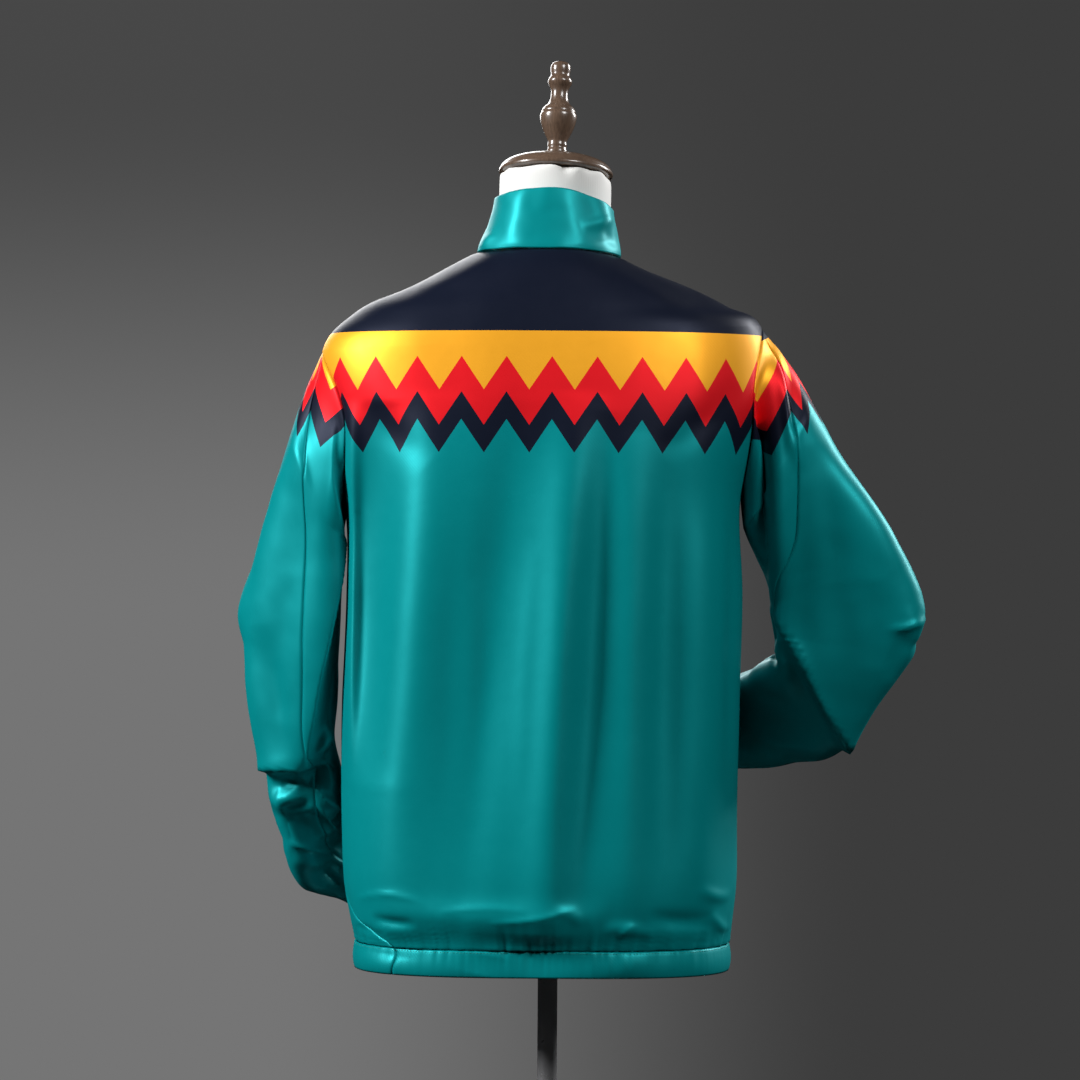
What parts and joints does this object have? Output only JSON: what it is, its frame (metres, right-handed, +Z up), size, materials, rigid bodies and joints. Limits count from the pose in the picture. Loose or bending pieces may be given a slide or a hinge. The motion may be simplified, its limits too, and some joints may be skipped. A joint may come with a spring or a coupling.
{
  "type": "windbreaker on a limbless dress form",
  "caption": "Zipped satin windbreaker with a stand collar and a banded print, worn on a limbless dress form with a turned finial, a steel pole and a round foot.",
  "frame": {"origin": "centre of the base plate's underside, on the axis of the pole", "axes": "+Z up the pole, -Y out of the garment's front, +X to the wearer's left"},
  "size_m": [0.7155, 0.4019, 1.6909],
  "materials": {
    "teal_satin": "polyester satin weave, soft sheen, with a banded print on the yoke and upper sleeves",
    "teal_collar": "doubled polyester satin",
    "teal_zip_tape": "woven polyester zip tape",
    "zip_metal": "die-cast zinc, dark gunmetal plating",
    "white_form_cover": "plain white cotton jersey over padding",
    "dark_turned_wood": "turned hardwood, dark stain under gloss lacquer",
    "chromed_steel": "chromed steel tube",
    "brushed_base_steel": "round steel plate, brushed in rings"
  },
  "bodies": {
    "garment": {"back": "teal_satin", "front_left": "teal_satin", "front_right": "teal_satin", "hem_back": "teal_satin", "hem_front_left": "teal_satin", "hem_front_right": "teal_satin", "sleeve_left_outer": "teal_satin", "sleeve_left_back": "teal_satin", "cuff_left": "teal_satin", "sleeve_right_outer": "teal_satin", "sleeve_right_back": "teal_satin", "cuff_right": "teal_satin", "collar": "teal_collar", "zip_tape": "teal_zip_tape", "zip_slider": "zip_metal", "form_torso": "white_form_cover", "neck_cap": "dark_turned_wood", "finial": "dark_turned_wood", "pole": "chromed_steel", "base_plate": "brushed_base_steel"},
    "pull": {"zip_pull": "zip_metal"}
  },
  "joints": [
    {"name": "pull_swing", "type": "hinge", "parent": "garment", "child": "pull", "pos_m": [0, -0.08005, 1.48518], "axis": [-1, 0, 0], "range_deg": [0, 150]}
  ]
}
